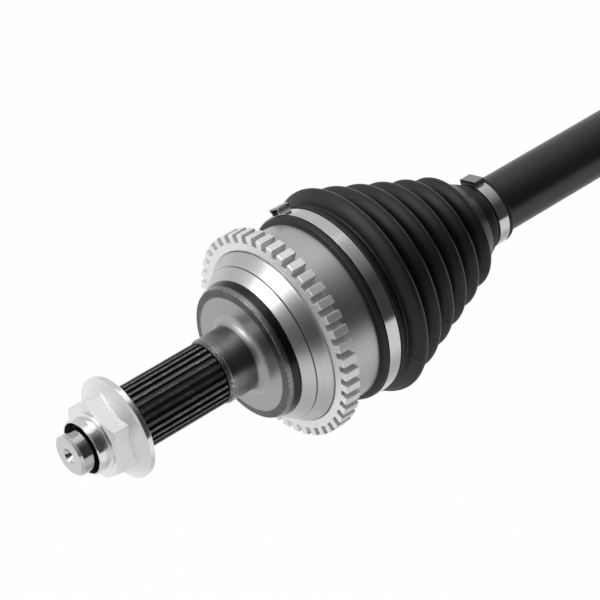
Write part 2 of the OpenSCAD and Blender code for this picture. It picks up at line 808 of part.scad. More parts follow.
module outboard_boot() {
    translate([outboard_lip_x, 0, 0])
    boot(bell_r, outboard_first_crest, bell_r + outboard_crest_rise, outboard_fold_pitch,
         outboard_crest_drop, outboard_folds, outboard_boot_length);
}

module inboard_boot() {
    translate([inboard_lip_x, 0, 0])
    mirror([1, 0, 0])
    boot(tulip_r, inboard_first_crest, tulip_r + inboard_crest_rise, inboard_fold_pitch,
         inboard_crest_drop, inboard_folds, inboard_boot_length);
}

// Clamps

// Corners of a raised ear: foot, pinched waist, a blunt and a rounded shoulder, waist and foot.
function ear_outline(half, height, blunt_r, round_r, pinch) = concat(
    [[-half, -1], [-half + pinch, 0.4 * height]],
    arc([-half + blunt_r, height - blunt_r], blunt_r, 180, 90, 4),
    arc([half - round_r, height - round_r], round_r, 90, 0, 5),
    [[half - pinch, 0.4 * height], [half, -1]]);

// Band, raised ear and the overlapping end of the strap. The band starts at x = 0.
// A tongue under the ear leaves only a slit of it open.
module clamp(band_r, width, ear_width, ear_height, blunt_r, round_r, pinch, overlap, tongue) {
    outer_r = band_r + band_t;
    ear_t = 0.8;
    color(zinc)
    difference() {
        union() {
            sleeve(0, width, band_r, outer_r);
            intersection() {
                sleeve(0, width, outer_r - 0.1, outer_r + 0.4);
                rotate([overlap / 2, 0, 0])
                translate([-1, 0, 0])
                linear_sector(abs(overlap), outer_r + 5, width + 2);
            }
            translate([0, 0, outer_r])
            rotate([90, 0, 90])
            linear_extrude(width)
            polygon(ear_outline(ear_width / 2, ear_height, blunt_r, round_r, pinch));
        }
        translate([-1, 0, outer_r])
        rotate([90, 0, 90])
        linear_extrude(width + 2)
        difference() {
            polygon(ear_outline(ear_width / 2 - ear_t, ear_height - ear_t, blunt_r / 2, round_r / 2, pinch));
            translate([-ear_width, -2])
            square([2 * ear_width, tongue + 2]);
        }
        rod(-1, width + 1, band_r);
    }
}

// A slice of pie along X that is centred on +Z.
module linear_sector(angle, r, length) {
    rotate([90, 0, 90])
    linear_extrude(length)
    polygon(concat([[0, 0]], arc([0, 0], r, 90 - angle / 2, 90 + angle / 2, 8)));
}

module outboard_clamp_large() {
    translate([outboard_lip_x + band_start, 0, 0])
    rotate([large_ear_turn, 0, 0])
    clamp(bell_r + 2 * fit + band_rise, large_band_width, large_ear_width,
          large_ear_height, 1, 1, 0.9, -60, 0);
}

module outboard_clamp_small() {
    translate([outboard_lip_x + outboard_boot_length - small_band_reach, 0, 0])
    rotate([small_ear_turn, 0, 0])
    clamp(bar_r + small_band_rise + fit, small_band_width, small_ear_width,
          small_ear_height, 0.5, 1.2, 0.3, 170, 0.9);
}

module inboard_clamp_large() {
    translate([inboard_lip_x - band_start - large_band_width, 0, 0])
    rotate([inboard_large_ear_turn, 0, 0])
    clamp(tulip_r + 2 * fit + band_rise, large_band_width, large_ear_width,
          large_ear_height, 1, 1, 0.9, -60, 0);
}

module inboard_clamp_small() {
    translate([inboard_lip_x - inboard_boot_length + small_band_inset, 0, 0])
    rotate([inboard_small_ear_turn, 0, 0])
    clamp(bar_r + small_band_rise + fit, small_band_width, small_ear_width,
          small_ear_height, 0.5, 1.2, 0.3, 170, 0.9);
}

axle_nut();
outboard_bell();
tone_ring();
outboard_cage();
ball(1);  // ball_1
ball(2);  // ball_2
ball(3);  // ball_3
ball(4);  // ball_4
ball(5);  // ball_5
ball(6);  // ball_6
inner_race();
race_circlip();
outboard_boot();
outboard_clamp_large();
outboard_clamp_small();
axle_bar();
spider();
spider_circlip();
roller(1);  // roller_1
roller(2);  // roller_2
roller(3);  // roller_3
needles(1);  // needles_1
needles(2);  // needles_2
needles(3);  // needles_3
roller_ring(1);  // roller_ring_1
roller_ring(2);  // roller_ring_2
roller_ring(3);  // roller_ring_3
inboard_tulip();
gearbox_clip();
inboard_boot();
inboard_clamp_large();
inboard_clamp_small();
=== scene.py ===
"""Front axle shaft with its two jointed ends, dressed for a white studio picture.

Pieces are in metres in the frame of the solids: the axle lies along X, the hub
shoulder is at x = 0, the wheel side points to -X and Z is up. The numbers that say
where finishes and outlines lie are in millimetres.
"""

import json
import math

import bpy
import numpy as np
from mathutils import Matrix, Vector


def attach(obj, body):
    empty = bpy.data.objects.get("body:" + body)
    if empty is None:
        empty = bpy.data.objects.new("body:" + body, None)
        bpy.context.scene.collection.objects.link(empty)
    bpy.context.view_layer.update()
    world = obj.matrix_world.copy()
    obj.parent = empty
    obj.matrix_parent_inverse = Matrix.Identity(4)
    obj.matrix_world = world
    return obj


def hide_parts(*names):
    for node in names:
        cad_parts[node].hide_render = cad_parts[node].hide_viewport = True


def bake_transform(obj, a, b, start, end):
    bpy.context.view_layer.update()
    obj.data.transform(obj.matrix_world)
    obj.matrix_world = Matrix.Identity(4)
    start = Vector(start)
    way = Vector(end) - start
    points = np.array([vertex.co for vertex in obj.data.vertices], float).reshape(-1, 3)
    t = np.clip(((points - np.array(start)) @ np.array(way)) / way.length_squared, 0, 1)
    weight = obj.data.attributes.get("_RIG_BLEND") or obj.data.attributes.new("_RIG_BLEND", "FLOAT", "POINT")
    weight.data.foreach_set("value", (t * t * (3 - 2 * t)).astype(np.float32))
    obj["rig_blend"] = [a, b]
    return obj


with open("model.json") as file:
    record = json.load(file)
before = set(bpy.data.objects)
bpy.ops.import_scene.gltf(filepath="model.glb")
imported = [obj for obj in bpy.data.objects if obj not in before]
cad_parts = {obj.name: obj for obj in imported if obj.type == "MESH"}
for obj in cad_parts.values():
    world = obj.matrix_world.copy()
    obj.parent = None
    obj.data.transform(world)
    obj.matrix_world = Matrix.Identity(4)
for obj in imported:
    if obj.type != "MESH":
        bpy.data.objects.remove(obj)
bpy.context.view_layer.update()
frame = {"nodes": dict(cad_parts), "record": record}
MM = 0.001

# The photograph's camera: where it stands round the axle, and its lens.
VIEW_AZIMUTH = math.radians(-40.85)
VIEW_ELEVATION = math.radians(41.76)
VIEW_ROLL = math.radians(0.34)
FOCAL_PIXELS = 2844.0
PICTURE_PIXELS = 600.0
SENSOR = 36.0
CLIP_NEAR, CLIP_FAR = 0.05, 20
# Where the hub shoulder's centre lies for that camera: right, up and ahead.
SHOULDER_SEEN = (-26.2 * MM, -24.0 * MM, 1256.7 * MM)


def place_camera():
    """Camera whose own axes, right, up and ahead, follow from azimuth and elevation."""
    sa, ca = math.sin(VIEW_AZIMUTH), math.cos(VIEW_AZIMUTH)
    se, ce = math.sin(VIEW_ELEVATION), math.cos(VIEW_ELEVATION)
    right = Vector((ca, sa, 0))
    ahead = Vector((-sa * ce, ca * ce, -se))
    up = right.cross(ahead)
    data = bpy.data.cameras.new("photo_camera")
    data.sensor_width = SENSOR
    data.lens = FOCAL_PIXELS / PICTURE_PIXELS * SENSOR
    data.clip_start = CLIP_NEAR
    data.clip_end = CLIP_FAR
    camera = bpy.data.objects.new("photo_camera", data)
    spot = -(right * SHOULDER_SEEN[0] + up * SHOULDER_SEEN[1] + ahead * SHOULDER_SEEN[2])
    right, up = (right * math.cos(VIEW_ROLL) - up * math.sin(VIEW_ROLL),
                 up * math.cos(VIEW_ROLL) + right * math.sin(VIEW_ROLL))
    turn = Matrix((right, up, -ahead)).transposed()
    camera.matrix_world = Matrix.Translation(spot) @ turn.to_4x4()
    bpy.context.scene.collection.objects.link(camera)
    bpy.context.scene.camera = camera


class Value:
    """A socket that takes part in sums, products and comparisons as Math nodes."""

    def __init__(self, finish, socket):
        self.finish = finish
        self.socket = socket

    def math(self, operation, *others):
        return self.finish.node("ShaderNodeMath", {"operation": operation},
                                dict(enumerate((self,) + others)))

    def __add__(self, other):
        return self.math("ADD", other)

    __radd__ = __add__

    def __sub__(self, other):
        return self.math("SUBTRACT", other)

    def __rsub__(self, other):
        return self.finish.node("ShaderNodeMath", {"operation": "SUBTRACT"}, {0: other, 1: self})

    def __mul__(self, other):
        return self.math("MULTIPLY", other)

    __rmul__ = __mul__

    def over(self, edge, soft=0.0):
        """1 where the value is above the edge, with a linear ramp soft wide."""
        if soft <= 0:
            return self.math("GREATER_THAN", edge)
        ramp = (self - (edge - soft / 2)) * (1 / soft)
        return ramp.math("MINIMUM", 1.0).math("MAXIMUM", 0.0)

    def under(self, edge, soft=0.0):
        """The reverse of over."""
        return 1 - self.over(edge, soft)

    def between(self, low, high, soft=0.0):
        return self.over(low, soft) * self.under(high, soft)


def around(middle, *swings):
    """Middle value that patterns swing: middle + sum of amount * (pattern - 0.5)."""
    for amount, pattern in swings:
        middle = middle + amount * (pattern - 0.5)
    return middle


def mixed(zones, weights):
    """Sum of weight * zone over the zones that have a weight."""
    return sum(zones[name] * weight for name, weight in weights.items())


BEVEL_SAMPLES = 4
# The rounded and the true normal's dot product where an edge begins, and its softness.
EDGE_TURN = (0.97, 0.03)
LATHE_ROUGHNESS = 0.6
NEUTRAL = (1.0, 1.0, 1.0)


class Finish:
    """Node tree of a material or world: node() adds any node, shade() or end() closes it."""

    def __init__(self, owner, place="Object"):
        self.owner = owner
        self.tree = owner.node_tree
        self.tree.nodes.clear()
        self.place = self.node("ShaderNodeTexCoord", out=place)

    @classmethod
    def new(cls, name, attribute=None):
        """A material that reads Object coordinates, or a vector attribute of the piece."""
        material = bpy.data.materials.new(name)
        material.use_nodes = True
        made = cls(material)
        if attribute:
            made.place = made.carried(attribute, "Vector")
        return made

    def node(self, kind, settings=None, links=None, out=0):
        """Any node: its settings are set first, then its sockets' values or links."""
        made = self.tree.nodes.new(kind)
        for key, value in (settings or {}).items():
            setattr(made, key, value)
        for key, value in (links or {}).items():
            socket = made.inputs[key]
            if isinstance(value, Value):
                self.tree.links.new(value.socket, socket)
            else:
                socket.default_value = value
        return Value(self, made.outputs[out]) if len(made.outputs) else None

    def end(self, shader, kind="ShaderNodeOutputMaterial"):
        self.node(kind, links={"Surface": shader})
        return self.owner

    def carried(self, attribute, out="Fac"):
        """A value or vector that the piece's mesh carries as an attribute."""
        return self.node("ShaderNodeAttribute", {"attribute_name": attribute}, out=out)

    def axes(self):
        """x, y, z of the surface point in metres."""
        split = self.node("ShaderNodeSeparateXYZ", links={0: self.place}).socket.node
        return [Value(self, socket) for socket in split.outputs]

    def turn(self):
        """Angle about the axle in degrees: 0 on top, positive on the -Y side."""
        x, y, z = self.axes()
        return (-1 * y).math("ARCTAN2", z) * math.degrees(1)

    def along_and_out(self):
        """Distance along the axle and distance from its axis, in millimetres."""
        x, y, z = self.axes()
        return x * (1 / MM), (y * y + z * z).math("SQRT") * (1 / MM)

    def noise(self, scale, detail, rough=0.5, vector=None):
        """Noise from 0 to 1 about 0.5, with scale cells in a metre."""
        links = {"Vector": vector or self.place, "Scale": scale, "Detail": detail, "Roughness": rough}
        return self.node("ShaderNodeTexNoise", {}, links, out="Fac")

    def rings(self, along, out, per_mm, detail=2.0):
        """Lathe marks: noise that changes along the axle and outward, not around it."""
        vector = self.node("ShaderNodeCombineXYZ", {}, {0: along * per_mm, 1: out * per_mm, 2: 0.0})
        return self.noise(1.0, detail, LATHE_ROUGHNESS, vector)

    def grey(self, value, tint=NEUTRAL):
        """Colour with the given grey value, tinted."""
        parts = {index: value * part for index, part in enumerate(tint)}
        return self.node("ShaderNodeCombineColor", {}, parts)

    def bump(self, height, distance, strength, normal=None):
        links = {"Height": height, "Distance": distance, "Strength": strength}
        if normal:
            links["Normal"] = normal
        return self.node("ShaderNodeBump", {}, links)

    def rounded(self, radius):
        """Normal that turns round sharp edges as a chamfer of that radius would."""
        return self.node("ShaderNodeBevel", {"samples": BEVEL_SAMPLES}, {"Radius": radius}, out="Normal")

    def edges(self, radius):
        """1 within the radius of a sharp edge: there the rounded normal leaves the true one."""
        true = self.node("ShaderNodeNewGeometry", out="True Normal")
        agree = self.node("ShaderNodeVectorMath", {"operation": "DOT_PRODUCT"},
                          {0: self.rounded(radius), 1: true}, out="Value")
        return agree.under(*EDGE_TURN)

    def shade(self, colour, rough, metallic, normal):
        links = {"Base Color": colour, "Roughness": rough, "Metallic": metallic, "Normal": normal}
        return self.end(self.node("ShaderNodeBsdfPrincipled", {}, links))


# The zones of the wheel-side forging along the axle: start, end and softness of both.
BELL_ALONG = {
    "thread": (-85.2, -66.2), "spline": (-66.2, -17.2, 0.5), "chips": (-18.2, -16.2, 1.0),
    "runout": (-17.2, -14.6, 0.8), "journal": (-14.6, -3.4, 0.8), "front": (-3.0, 1.2),
    "burr": (0.2, 1.2), "boss": (2.6, 6.42, 0.1), "groove": (11.35, 11.95), "ring_edge_shade": (14.05, 14.2),
}
# Single stations along the axle, and radii about it: place and softness.
PILOT_END, TIP_END = (-85.2, 0.2), (-94.7, 0.2)
FILLET_START, FILLET_END = (-3.4, 0.8), (0.3,)
RIM_START, RIM_END = (0.9,), (2.6, 0.8)
CONE_START, BARREL_START = (6.42,), (25.0,)
CREST_RADIUS, JOURNAL_RADIUS, FILLET_RADIUS = (14.35, 0.35), (17.0, 0.8), (19.6, 0.8)
FACE_RADIUS, BEVEL_RADIUS, RIM_RADIUS = (28.0, 0.5), (31.7, 0.15), (31.9, 0.1)
BURR_RADII = (31.5, 31.95, 0.2)
# The patch of the pilot that was milled, in degrees about the axle.
MILLED_TURNS = (-74.5, -13.5, 1.5)
# How much of each noise counts as a painted glint on the spline crests, a chip or grit: threshold and
# softness.
GLINT_SPOTS, GLINT_AREAS, CHIP_SPOTS, GRIT_SPOTS = (0.6, 0.1), (0.48, 0.3), (0.58, 0.1), (0.45, 0.3)
# Each zone's grey value, what the cloud adds to it, and its roughness. The milled patch's lower grey is a
# painted dark reflection, the spline crests' added grey a painted highlight on the tooth tops, and the crest
# specks' grey painted glints.
BELL_GREY = {
    "pilot": 0.45, "milled": -0.36, "tip": 0.15, "thread": 0.14, "spline": 0.08, "crest": 0.03,
    "crest_glints": 0.34, "runout": 0.22, "chips": 0.22, "journal": 0.15, "fillet": 0.45, "face": 0.38,
    "bevel": 0.07, "grit": 0.3, "rim": 0.2, "boss": 0.03,
}
BELL_CLOUD = {"crest": 0.05, "journal": 0.08, "bevel": 0.08, "rim": 0.1, "boss": 0.02}
BELL_ROUGH = {
    "pilot": 0.15, "thread": 0.3, "spline": 0.46, "runout": 0.25, "journal": 0.32, "fillet": 0.45,
    "face": 0.36, "bevel": 0.38, "burr": 0.3, "rim": 0.3, "boss": 0.28, "turned": 0.33, "barrel": 0.08,
}
TURNED_GREY, BARREL_DARKER = 0.58, 0.03
# Painted shade: how much darker the groove and the thin line at the tone ring's front edge are, and that
# line's share.
GROOVE_PAINTED_SHADE, RING_EDGE_SHADE_SHARE = 0.38, 0.4
# Heights of the lathe marks, of the finer ones with what the barrel adds, and of the grain.
MARKS_HEIGHT, FINE_HEIGHT, BARREL_HEIGHT, GRAIN_HEIGHT = 0.3, 0.3, 0.8, 0.6
BELL_TINT = (1.0, 1.0, 1.01)


def bell_zones(f, along, out, cloud, grain):
    """Masks of the forging's zones, 1 inside and 0 outside, by distance along the axle
    and from its axis. The milled patch also goes by the turn about the axle, and the
    painted glints on the crests, chips and grit by noise."""
    zones = {name: along.between(*span) for name, span in BELL_ALONG.items()}
    front = zones["front"]
    zones["pilot"] = along.under(*PILOT_END)
    zones["tip"] = along.under(*TIP_END)
    zones["milled"] = zones["pilot"] * along.over(*TIP_END) * f.turn().between(*MILLED_TURNS)
    # Spline crests, lightened by a painted highlight on the tooth tops.
    zones["crest"] = zones["spline"] * out.over(*CREST_RADIUS)
    spots = f.noise(scale=1500, detail=2).over(*GLINT_SPOTS)
    # Painted glints: light specks on the spline crests.
    zones["crest_glints"] = zones["crest"] * spots * cloud.over(*GLINT_AREAS)
    zones["chips"] = zones["chips"] * f.noise(scale=1100, detail=2).over(*CHIP_SPOTS)
    zones["journal"] = zones["journal"] * out.under(*JOURNAL_RADIUS)
    zones["fillet"] = along.over(*FILLET_START) * along.under(*FILLET_END) * out.under(*FILLET_RADIUS)
    zones["face"] = front * out.over(*FILLET_RADIUS) * out.under(*FACE_RADIUS)
    zones["bevel"] = front * out.over(*FACE_RADIUS) * out.under(*BEVEL_RADIUS)
    zones["burr"] = zones["burr"] * out.between(*BURR_RADII)
    zones["grit"] = zones["burr"] * grain.over(*GRIT_SPOTS)
    zones["rim"] = along.over(*RIM_START) * along.under(*RIM_END) * out.over(*RIM_RADIUS)
    zones["turned"] = along.over(*CONE_START)
    zones["barrel"] = along.over(*BARREL_START)
    return zones


def forged_bell_finish():
    """The wheel-side forging: bright pilot with a milled patch darkened by a painted dark
    reflection, dark thread and spline whose crests a painted highlight lightens and painted
    glints speckle, bright chips at its runout, dark journal, satin fillet and shoulder,
    dull bevel with a fine burr, black boss and bright turned bell, with painted shade in
    its groove and in a thin line at the tone ring's front edge."""
    f = Finish.new("forged_bell")
    along, out = f.along_and_out()
    marks = f.rings(along, out, per_mm=2.4)
    fine = f.rings(along, out, per_mm=9.0)
    cloud = f.noise(scale=170, detail=3)
    grain = f.noise(scale=900, detail=3, rough=0.6)
    zones = bell_zones(f, along, out, cloud, grain)
    barrel, face = zones["barrel"], zones["face"]
    # Painted shade in the groove and in the thin line at the tone ring's front edge.
    lines = zones["groove"] + RING_EDGE_SHADE_SHARE * zones["ring_edge_shade"]
    turned = around(TURNED_GREY - BARREL_DARKER * barrel, (0.05, fine)) * (1 - GROOVE_PAINTED_SHADE * lines)
    value = (mixed(zones, BELL_GREY) + mixed(zones, BELL_CLOUD) * cloud
             + face * around(0.0, (0.12, grain)) + zones["turned"] * turned)
    rough = around(mixed(zones, BELL_ROUGH), (0.06, marks), (0.06, cloud))
    blasted = face + zones["journal"] + zones["bevel"]
    height = (MARKS_HEIGHT * marks + (FINE_HEIGHT + BARREL_HEIGHT * barrel) * fine
              + GRAIN_HEIGHT * blasted * grain)
    normal = f.bump(height, distance=0.03 * MM, strength=0.5, normal=f.rounded(radius=0.2 * MM))
    return f.shade(f.grey(value, BELL_TINT), rough, metallic=1.0, normal=normal)


# The tone ring's slots: under this radius and behind this station.
SLOT_TOP, SLOT_FRONT = (46.3, 0.5), (18.5, 0.2)
# Ring grey, how much painted shade darkens the slots, and how much a painted highlight lightens the edges.
RING_GREY, SLOT_PAINTED_SHADE, EDGE_PAINTED_HIGHLIGHT = 0.88, 0.24, 0.12
GRAIN_SWING, SLOT_GRAIN_SWING = 0.1, 0.3
RING_ROUGH, EDGE_SMOOTHER = 0.46, 0.12
RING_METAL, EDGE_LESS_METAL = 0.85, 0.5
RING_TINT = (1.0, 1.0, 0.995)


def tone_ring_finish():
    """Pale blasted and zinc-plated ring, grainier in its slots and darkened there by
    painted shade, with edges whitened by a painted highlight and made smoother and less metallic.
    """
    f = Finish.new("blasted_ring")
    along, out = f.along_and_out()
    grain = f.noise(scale=1500, detail=3, rough=0.6)
    blotch = f.noise(scale=60, detail=3)
    slots = out.under(*SLOT_TOP) * along.over(*SLOT_FRONT)
    edge = f.edges(radius=0.9 * MM)
    # Painted shade in the slots and a painted highlight on the edges.
    grey = RING_GREY - SLOT_PAINTED_SHADE * slots + EDGE_PAINTED_HIGHLIGHT * edge
    value = around(grey, (GRAIN_SWING + SLOT_GRAIN_SWING * slots, grain), (0.06, blotch))
    rough = around(RING_ROUGH - EDGE_SMOOTHER * edge, (0.12, grain))
    normal = f.bump(grain, distance=0.05 * MM, strength=0.5, normal=f.rounded(radius=0.5 * MM))
    metallic = RING_METAL - EDGE_LESS_METAL * edge
    return f.shade(f.grey(value, RING_TINT), rough, metallic, normal)


# The nut's parts: stations along the axle and radii, each with its softness.
COLLAR_REAR, COLLAR_BORE, NUT_BORE = (-83.9, 0.3), (12.6, 0.3), (12.3, 0.3)
FLANGE_RIM = (23.7, 0.2)
FLATS_ALONG, FLATS_FROM, FLATS_TO = (-82.6, -72.0, 0.4), (16.7, 0.3), (20.2, 0.4)
# Nut grey, the turned parts' darkening, the bore's painted shade, and the flats' grain swing.
NUT_GREY, TURNED_DARKER, BORE_PAINTED_SHADE, FLATS_SWING = 0.84, 0.04, 0.75, 0.3
NUT_ROUGH, TURNED_SMOOTHER, FLATS_ROUGHER = 0.3, 0.15, 0.08
# Height of the plating's grain, what the flats add and the collar takes, then the same
# for the lathe marks.
PLATE_HEIGHT, FLATS_HEIGHT, COLLAR_LOWER = 0.12, 2.0, 0.08
LATHE_HEIGHT, COLLAR_POLISH = 0.3, 0.24
ZINC_TINT = (1.0, 1.0, 1.005)


def zinc_nut_finish():
    """White zinc plate: grainy forged flats, a satin flange, and a turned collar and
    flange rim that mirror the room. Painted shade darkens its bore."""
    f = Finish.new("zinc_nut")
    along, out = f.along_and_out()
    cloud = f.noise(scale=110, detail=3)
    grain = f.noise(scale=1400, detail=3, rough=0.65)
    marks = f.rings(along, out, per_mm=4.0)
    collar = along.under(*COLLAR_REAR) * out.over(*COLLAR_BORE)
    turned = collar.math("MAXIMUM", out.over(*FLANGE_RIM))
    flats = along.between(*FLATS_ALONG) * out.over(*FLATS_FROM) * out.under(*FLATS_TO)
    inside = out.under(*NUT_BORE)
    value = around(NUT_GREY - TURNED_DARKER * turned, (0.06, cloud), (FLATS_SWING * flats, grain))
    # Painted shade in the bore.
    value = value * (1 - BORE_PAINTED_SHADE * inside)
    rough = around(NUT_ROUGH - TURNED_SMOOTHER * turned + FLATS_ROUGHER * flats, (0.06, cloud))
    height = ((PLATE_HEIGHT + FLATS_HEIGHT * flats - COLLAR_LOWER * collar) * grain
              + (LATHE_HEIGHT - COLLAR_POLISH * collar) * marks)
    normal = f.bump(height, distance=0.03 * MM, strength=0.5, normal=f.rounded(radius=0.3 * MM))
    return f.shade(f.grey(value, ZINC_TINT), rough, metallic=1.0, normal=normal)


# The clamps' ears: where each lies along the axle, and the radius that only it passes.
EARS = ((30, 70, 47.0), (120, 400, 17.2), (400, 600, 43.5))
# How soft the ears' edge is, and how much painted shade darkens them.
EAR_SOFTNESS, EAR_PAINTED_SHADE = 0.2, 0.5
STRAP_GREY, STRAP_ROUGH = 0.62, 0.15


def stainless_finish():
    """Rolled strap: fine lines that run round the axle, and pinched ears, which stand
    out past the strap of each clamp and are darkened by painted shade."""
    f = Finish.new("stainless_strap")
    along, out = f.along_and_out()
    lines = f.rings(along, out, per_mm=7.0, detail=3.0)
    blotch = f.noise(scale=150, detail=2)
    ear = sum(along.between(start, end) * out.over(radius, EAR_SOFTNESS) for start, end, radius in EARS)
    # Painted shade darkens the ears.
    value = around(STRAP_GREY, (0.08, lines), (0.05, blotch)) * (1 - EAR_PAINTED_SHADE * ear)
    rough = around(STRAP_ROUGH, (0.08, lines), (0.05, blotch))
    normal = f.bump(lines, distance=0.02 * MM, strength=0.4, normal=f.rounded(radius=0.15 * MM))
    return f.shade(f.grey(value), rough, metallic=1.0, normal=normal)


# The boots' mould line: where it lies in degrees about the axle, how it waves with the
# radius, and its half width and softness. Then what counts as a front slope, and as
# leaning back.
MOULD_TURN, WAVES_PER_MM, WAVE_TURN = 97, 1.1, 0.9
MOULD_WIDTH = (0.24, 0.2)
FRONT_SLOPE, LEANING_BACK = (0.5, 0.3), (0.45, 0.5)
# Grey of the rubber, what cloud and grain add, and how much darker its mould line is.
RUBBER_GREY, CLOUD_GREY, GRAIN_GREY, MOULD_DARKER = 0.003, 0.004, 0.002, 0.7
RUBBER_ROUGH, CREST_SMOOTHER, MOULD_ROUGHER = 0.52, 0.3, 0.2
RUBBER_HEIGHT, MOULD_DEPTH = 0.03, 3.0
RUBBER_TINT = (1.0, 1.0, 1.03)


def boot_rubber_finish():
    """Moulded black rubber: fine grain, a faint bloom, and thin mould lines on the
    front slopes, wavy with the distance from the axis. The crests are smoother where
    they lean back."""
    f = Finish.new("boot_rubber", "moulded_at")
    along, out = f.along_and_out()
    grain = f.noise(scale=1500, detail=2)
    cloud = f.noise(scale=45, detail=3)
    wave = (out * WAVES_PER_MM).math("SINE") * WAVE_TURN
    offset = (f.turn() - MOULD_TURN + wave).math("ABSOLUTE") * out * math.radians(1)
    line = offset.under(*MOULD_WIDTH) * f.carried("front_slope").over(*FRONT_SLOPE)
    crest = f.carried("lean_back").over(*LEANING_BACK)
    value = (RUBBER_GREY + CLOUD_GREY * cloud + GRAIN_GREY * grain) * (1 - MOULD_DARKER * line)
    rough = RUBBER_ROUGH - CREST_SMOOTHER * crest + MOULD_ROUGHER * line
    rough = around(rough, (0.1, cloud), (0.05, grain))
    height = RUBBER_HEIGHT * grain - MOULD_DEPTH * line
    normal = f.bump(height, distance=0.1 * MM, strength=0.5)
    return f.shade(f.grey(value, RUBBER_TINT), rough, metallic=0.0, normal=normal)


COAT_GREY, COAT_CLOUD, COAT_ROUGH = 0.012, 0.01, 0.34
COAT_TINT = (1.0, 1.0, 1.02)


def black_bar_finish():
    """Satin black coat on the bar, a little cloudy, with faint lines round it."""
    f = Finish.new("black_bar")
    along, out = f.along_and_out()
    grain = f.noise(scale=900, detail=3)
    cloud = f.noise(scale=30, detail=3)
    lines = f.rings(along, out, per_mm=1.4)
    value = around(COAT_GREY + COAT_CLOUD * cloud, (0.004, lines))
    rough = around(COAT_ROUGH, (0.1, cloud), (0.08, grain))
    normal = f.bump(grain, distance=0.03 * MM, strength=0.5)
    return f.shade(f.grey(value, COAT_TINT), rough, metallic=0.0, normal=normal)


GROUND_GREY, GROUND_ROUGH = 0.5, 0.18


def ground_steel_finish():
    """Ground and polished bearing steel."""
    f = Finish.new("ground_steel")
    cloud = f.noise(scale=70, detail=3)
    fine = f.noise(scale=2500, detail=1)
    value = around(GROUND_GREY, (0.1, cloud))
    rough = around(GROUND_ROUGH, (0.1, cloud), (0.04, fine))
    normal = f.bump(fine, distance=0.01 * MM, strength=0.4)
    return f.shade(f.grey(value), rough, metallic=1.0, normal=normal)


SPRING_GREY, SPRING_CLOUD, SPRING_ROUGH = 0.1, 0.06, 0.32
SPRING_TINT = (0.96, 0.98, 1.04)


def spring_steel_finish():
    """Oiled dark spring steel of the snap rings."""
    f = Finish.new("spring_steel")
    cloud = f.noise(scale=200, detail=3)
    value = SPRING_GREY + SPRING_CLOUD * cloud
    rough = around(SPRING_ROUGH, (0.14, cloud))
    normal = f.bump(cloud, distance=0.02 * MM, strength=0.4)
    return f.shade(f.grey(value, SPRING_TINT), rough, metallic=1.0, normal=normal)


GEARBOX_STUB_START, GEARBOX_SPLINE_START = (506, 1.0), (531.5, 0.5)
HOUSING_GREY, SEAL_GREY, GEAR_GREY, GEAR_SCALE = 0.46, 0.5, 0.06, 0.08
HOUSING_ROUGH, SEAL_SMOOTHER = 0.3, 0.1


def tulip_finish():
    """The gearbox-side housing: turned grey body, ground journal and dark spline."""
    f = Finish.new("forged_tulip")
    along, out = f.along_and_out()
    marks = f.rings(along, out, per_mm=3.0)
    scale = f.noise(scale=260, detail=4)
    blotch = f.noise(scale=40, detail=3)
    stub = along.over(*GEARBOX_STUB_START)
    spline = along.over(*GEARBOX_SPLINE_START)
    journal = stub * (1 - spline)
    value = ((1 - stub) * around(HOUSING_GREY, (0.1, marks), (-0.08, blotch))
             + journal * around(SEAL_GREY, (0.1, marks)) + spline * (GEAR_GREY + GEAR_SCALE * scale))
    rough = around(HOUSING_ROUGH - SEAL_SMOOTHER * journal, (0.12, scale), (0.1, marks))
    normal = f.bump(0.5 * (marks + scale), distance=0.05 * MM, strength=0.5)
    return f.shade(f.grey(value), rough, metallic=1.0, normal=normal)


BELL_RADIUS, TULIP_RADIUS, BAR_RADIUS = 43.0, 39.5, 14.05
LIP_OUTBOARD, LIP_INBOARD = 43.3, 437.5
OUTBOARD_LENGTH, INBOARD_LENGTH = 108.9, 101.5
NECK_LENGTH = 17
BOOT_FIT = 0.05
BOOT_WALL = 1.1
CREST_ROUND, VALLEY_ROUND = 2.5, 1.1
# The folds of each boot: radius of its seat, the first crest's distance from the lip and
# its radius, pitch, drop in radius per fold, number of folds and their depth.
OUTBOARD_FOLDS = {"seat": BELL_RADIUS, "first": 21.2, "crest": 50.9, "pitch": 12.1,
                  "drop": 4.5, "count": 6, "depth": 8.0}
INBOARD_FOLDS = {"seat": TULIP_RADIUS, "first": 21.0, "crest": 46.2, "pitch": 12.0,
                 "drop": 4.6, "count": 5, "depth": 7.0}
# The first valley's height over the seat, and the last one's place by the neck.
FIRST_VALLEY_RISE, LAST_VALLEY_BACK, LAST_VALLEY_RISE = 0.4, 0.8, 9
HEADING_IN, HEADING_OUT = math.radians(-30), math.radians(-20)
ROUND_POINTS, WALL_POINTS, BEAD_POINTS = 10, 8, 7
REAR_BULGE = 0.15
BULGE_OUTSIDE, BULGE_INSIDE = 0.45, 0.3
